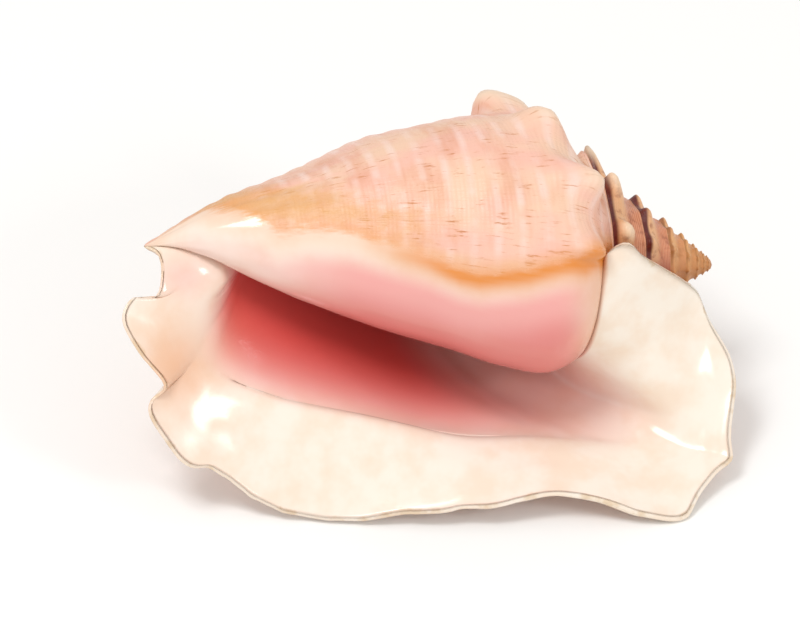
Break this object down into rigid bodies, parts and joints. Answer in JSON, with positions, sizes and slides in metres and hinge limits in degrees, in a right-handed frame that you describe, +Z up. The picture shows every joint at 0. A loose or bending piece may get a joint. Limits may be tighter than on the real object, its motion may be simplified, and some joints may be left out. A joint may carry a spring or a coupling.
{
  "type": "conch shell",
  "caption": "Large right-handed sea conch shell with a knobbed spire, a broad flaring lip and an open aperture, resting on the edge of its lip and on its back.",
  "frame": {"origin": "centre of the footprint of the resting shell, at the level of the surface it rests on", "axes": "+X from the canal end towards the spire, +Y away from the viewer who looks into the aperture, +Z up"},
  "size_m": [0.248, 0.1476, 0.1315],
  "materials": {
    "shell": "gloss"
  },
  "bodies": {
    "root": {"conch_shell": "shell"}
  },
  "joints": []
}
